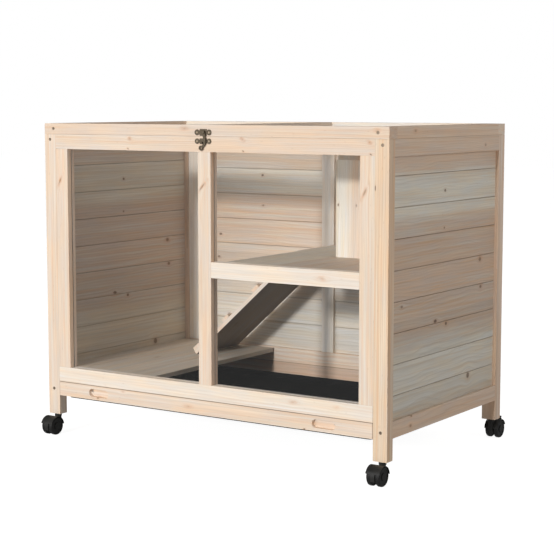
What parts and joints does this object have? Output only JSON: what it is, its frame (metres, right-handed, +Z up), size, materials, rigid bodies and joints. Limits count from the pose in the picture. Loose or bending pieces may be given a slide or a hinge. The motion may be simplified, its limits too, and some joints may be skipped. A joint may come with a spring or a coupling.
{
  "type": "rabbit hutch",
  "caption": "Two-level wooden rabbit hutch on casters, with lift-up lid frame, corner shelf and nook, cleated ramp, low platform and pull-out litter tray.",
  "frame": {"origin": "on the floor, under the middle of the hutch", "axes": "+X to the right along the width, +Y to the back, +Z up"},
  "size_m": [0.915, 0.595, 0.73],
  "materials": {
    "pine_front": "planed unfinished light pine",
    "pine_frame": "planed unfinished pine",
    "pine_boards": "unfinished tongue-and-groove boards, some pink-brown and some pale grey",
    "clear_panel": "clear acrylic sheet",
    "tray_plastic": "grained black plastic",
    "bronze_metal": "antique bronze plating",
    "steel": "zinc-plated steel",
    "caster_plastic": "black nylon",
    "wheel_plastic": "black nylon wheel"
  },
  "bodies": {
    "root": {"front_left_leg": "pine_front", "front_right_leg": "pine_front", "rear_left_leg": "pine_frame", "rear_right_leg": "pine_frame", "front_top_rail": "pine_front", "front_bottom_rail": "pine_front", "front_left_stile": "pine_front", "front_right_stile": "pine_front", "front_mid_stile": "pine_front", "shelf_front_rail": "pine_front", "left_side_rails": "pine_frame", "right_side_rails": "pine_frame", "left_wall_boards": "pine_boards", "right_wall_boards": "pine_boards", "back_rails": "pine_frame", "back_stiles": "pine_frame", "back_wall_boards": "pine_boards", "upper_shelf": "pine_boards", "nook_wall": "pine_boards", "low_platform": "pine_boards", "floor_bearers": "pine_frame", "ramp_board": "pine_boards", "ramp_cleats": "pine_frame", "front_windows": "clear_panel", "tray_runners": "pine_frame", "frame_screws": "steel", "hinge_frame_leaves": "bronze_metal", "hinge_pins": "steel", "latch_keeper": "bronze_metal", "caster_stems": "steel"},
    "drawer": {"drawer_front": "pine_front", "litter_tray": "tray_plastic", "tray_screws": "steel"},
    "lid": {"lid_front_rail": "pine_front", "lid_rear_rail": "pine_front", "lid_side_rails": "pine_front", "lid_mid_rail": "pine_front", "lid_windows": "clear_panel", "lid_screws": "steel", "hinge_lid_leaves": "bronze_metal", "latch_plate": "bronze_metal"},
    "latch": {"latch_hook": "bronze_metal"},
    "front_left_caster": {"front_left_caster_fork": "caster_plastic", "front_left_caster_axle": "steel"},
    "front_left_outer_wheel": {"front_left_outer_wheel": "wheel_plastic"},
    "front_left_inner_wheel": {"front_left_inner_wheel": "wheel_plastic"},
    "front_right_caster": {"front_right_caster_fork": "caster_plastic", "front_right_caster_axle": "steel"},
    "front_right_outer_wheel": {"front_right_outer_wheel": "wheel_plastic"},
    "front_right_inner_wheel": {"front_right_inner_wheel": "wheel_plastic"},
    "rear_left_caster": {"rear_left_caster_fork": "caster_plastic", "rear_left_caster_axle": "steel"},
    "rear_left_outer_wheel": {"rear_left_outer_wheel": "wheel_plastic"},
    "rear_left_inner_wheel": {"rear_left_inner_wheel": "wheel_plastic"},
    "rear_left_brake": {"rear_left_brake_lever": "caster_plastic"},
    "rear_right_caster": {"rear_right_caster_fork": "caster_plastic", "rear_right_caster_axle": "steel"},
    "rear_right_outer_wheel": {"rear_right_outer_wheel": "wheel_plastic"},
    "rear_right_inner_wheel": {"rear_right_inner_wheel": "wheel_plastic"},
    "rear_right_brake": {"rear_right_brake_lever": "caster_plastic"}
  },
  "joints": [
    {"name": "lid_hinge", "type": "hinge", "parent": "root", "child": "lid", "pos_m": [0, 0.2697, 0.70515], "axis": [-1, 0, 0], "range_deg": [0, 100]},
    {"name": "latch_swing", "type": "hinge", "parent": "lid", "child": "latch", "pos_m": [0.0008, -0.2695, 0.7136], "axis": [0, -1, 0], "range_deg": [0, 100]},
    {"name": "drawer_slide", "type": "slide", "parent": "root", "child": "drawer", "axis": [0, -1, 0], "range_m": [0, 0.44]},
    {"name": "front_left_swivel", "type": "hinge", "parent": "root", "child": "front_left_caster", "pos_m": [-0.441, -0.2545, 0.04], "axis": [0, 0, 1], "continuous": true},
    {"name": "front_left_outer_roll", "type": "hinge", "parent": "front_left_caster", "child": "front_left_outer_wheel", "pos_m": [-0.441, -0.2755, 0.021], "axis": [1, 0, 0], "continuous": true},
    {"name": "front_left_inner_roll", "type": "hinge", "parent": "front_left_caster", "child": "front_left_inner_wheel", "pos_m": [-0.441, -0.2755, 0.021], "axis": [1, 0, 0], "continuous": true},
    {"name": "front_right_swivel", "type": "hinge", "parent": "root", "child": "front_right_caster", "pos_m": [0.441, -0.2545, 0.04], "axis": [0, 0, 1], "continuous": true},
    {"name": "front_right_outer_roll", "type": "hinge", "parent": "front_right_caster", "child": "front_right_outer_wheel", "pos_m": [0.441, -0.2755, 0.021], "axis": [1, 0, 0], "continuous": true},
    {"name": "front_right_inner_roll", "type": "hinge", "parent": "front_right_caster", "child": "front_right_inner_wheel", "pos_m": [0.441, -0.2755, 0.021], "axis": [1, 0, 0], "continuous": true},
    {"name": "rear_left_swivel", "type": "hinge", "parent": "root", "child": "rear_left_caster", "pos_m": [-0.441, 0.2545, 0.04], "axis": [0, 0, 1], "continuous": true},
    {"name": "rear_left_outer_roll", "type": "hinge", "parent": "rear_left_caster", "child": "rear_left_outer_wheel", "pos_m": [-0.441, 0.2755, 0.021], "axis": [1, 0, 0], "continuous": true},
    {"name": "rear_left_inner_roll", "type": "hinge", "parent": "rear_left_caster", "child": "rear_left_inner_wheel", "pos_m": [-0.441, 0.2755, 0.021], "axis": [1, 0, 0], "continuous": true},
    {"name": "rear_left_brake_press", "type": "hinge", "parent": "rear_left_caster", "child": "rear_left_brake", "pos_m": [-0.441, 0.29007, 0.04181], "axis": [-1, 0, 0], "range_deg": [0, 25]},
    {"name": "rear_right_swivel", "type": "hinge", "parent": "root", "child": "rear_right_caster", "pos_m": [0.441, 0.2545, 0.04], "axis": [0, 0, 1], "continuous": true},
    {"name": "rear_right_outer_roll", "type": "hinge", "parent": "rear_right_caster", "child": "rear_right_outer_wheel", "pos_m": [0.441, 0.2755, 0.021], "axis": [1, 0, 0], "continuous": true},
    {"name": "rear_right_inner_roll", "type": "hinge", "parent": "rear_right_caster", "child": "rear_right_inner_wheel", "pos_m": [0.441, 0.2755, 0.021], "axis": [1, 0, 0], "continuous": true},
    {"name": "rear_right_brake_press", "type": "hinge", "parent": "rear_right_caster", "child": "rear_right_brake", "pos_m": [0.441, 0.29007, 0.04181], "axis": [-1, 0, 0], "range_deg": [0, 25]}
  ]
}
